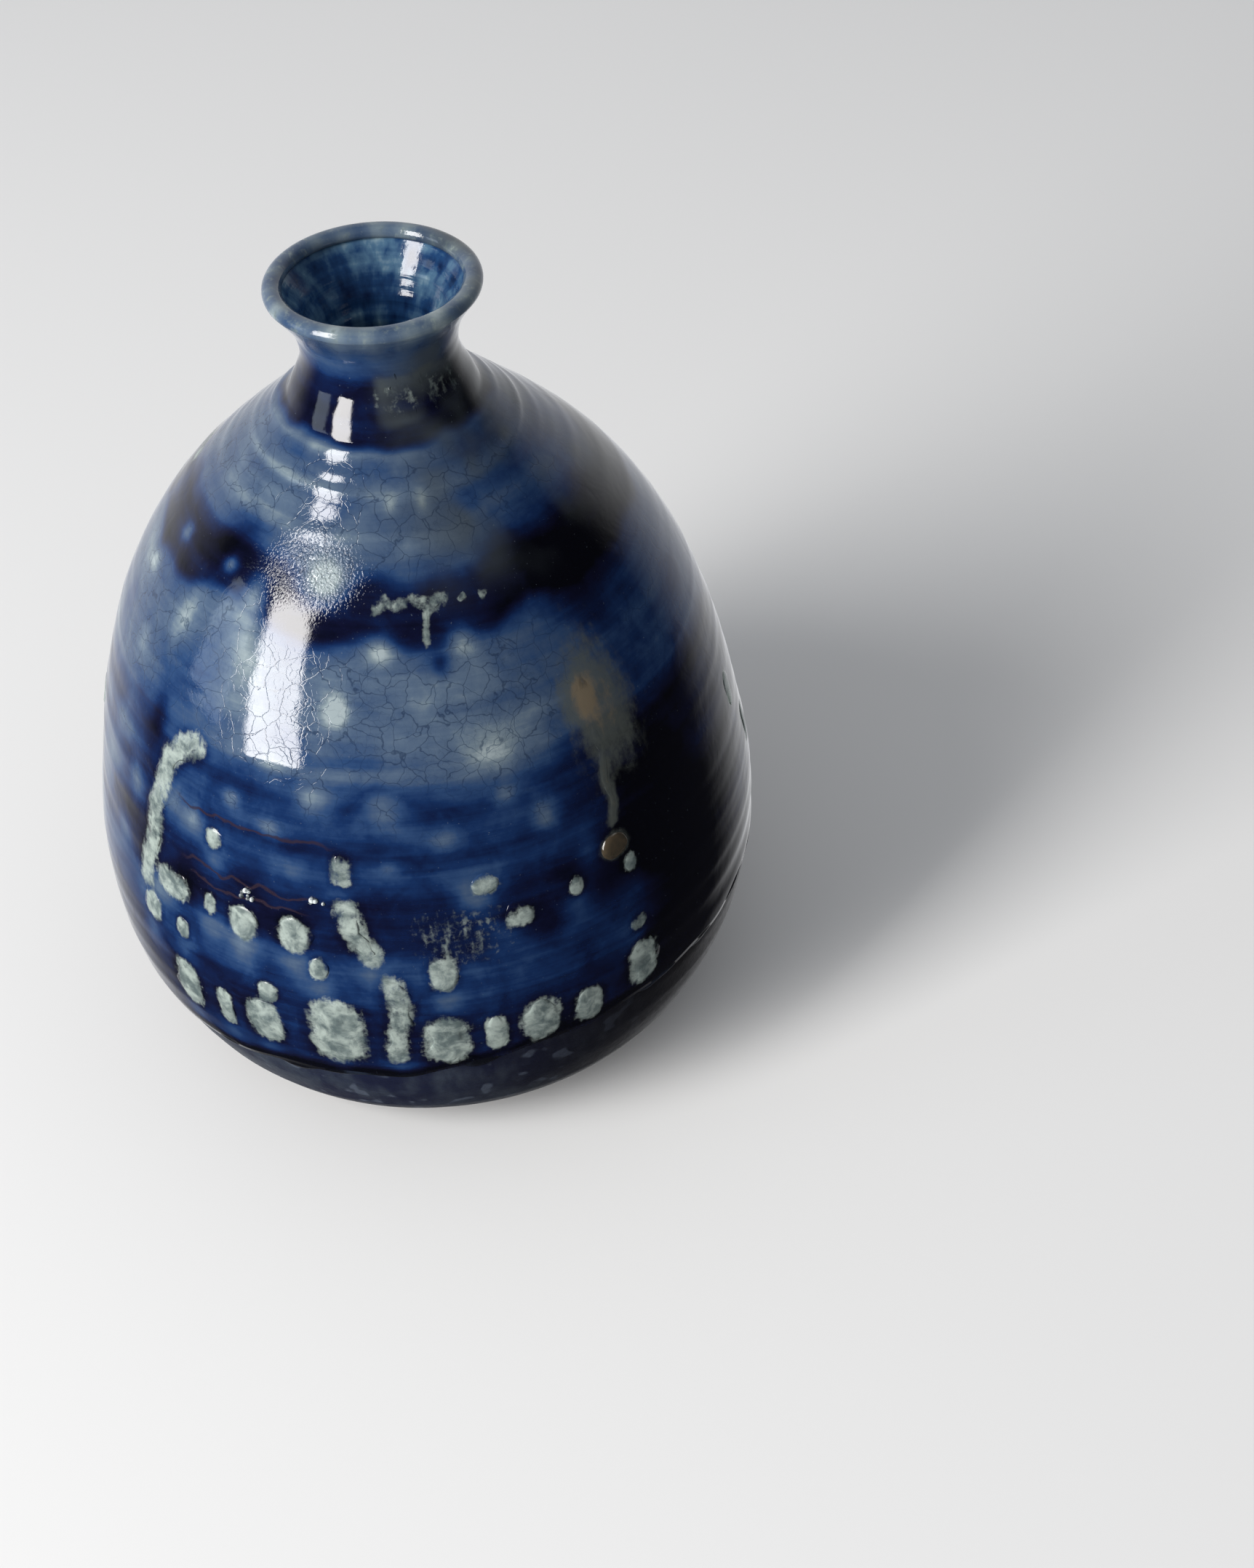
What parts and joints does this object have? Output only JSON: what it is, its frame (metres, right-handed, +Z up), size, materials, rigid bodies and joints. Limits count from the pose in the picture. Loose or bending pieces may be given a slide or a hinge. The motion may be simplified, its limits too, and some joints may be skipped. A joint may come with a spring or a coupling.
{
  "type": "sake bottle",
  "caption": "Squat round-bellied stoneware sake bottle with a short flared neck, a cobalt glaze coat, ash glaze dabs and a bare clay foot ring, for warming and pouring sake.",
  "frame": {"origin": "middle of the foot ring's resting face, on the table", "axes": "+Z up along the axis the bottle was thrown on; -Y is the side with the iron run and most of the ash dabs in front; +X to its right"},
  "size_m": [0.1046, 0.1046, 0.127],
  "materials": {
    "clay": "bare fired stoneware, matte and slightly gritty",
    "slip": "fired slip, matte",
    "cobalt_glaze": "glossy cobalt glaze, crazed, from pale grey-blue to near black",
    "pale_glaze": "thin glossy glaze, pale blue over the edge of the clay",
    "wash_glaze": "thin satin blue-grey wash",
    "lining_glaze": "glossy dark blue lining",
    "ash_glaze": "satin grey-green ash glaze, mottled",
    "iron_glaze": "rust-brown iron glaze, satin",
    "bead_glaze": "glossy beads with a metallic sheen"
  },
  "bodies": {
    "root": {"clay_body": "clay", "foot_ring": "clay", "clay_neck": "clay", "neck_slip_seam": "slip", "cobalt_coat": "cobalt_glaze", "neck_coat": "cobalt_glaze", "lip_coat": "pale_glaze", "base_wash": "wash_glaze", "lining_glaze": "lining_glaze", "glaze_roll": "cobalt_glaze", "ash_dabs": "ash_glaze", "ash_runs": "ash_glaze", "shoulder_ash": "ash_glaze", "iron_run": "iron_glaze", "glaze_beads": "bead_glaze"}
  },
  "joints": []
}
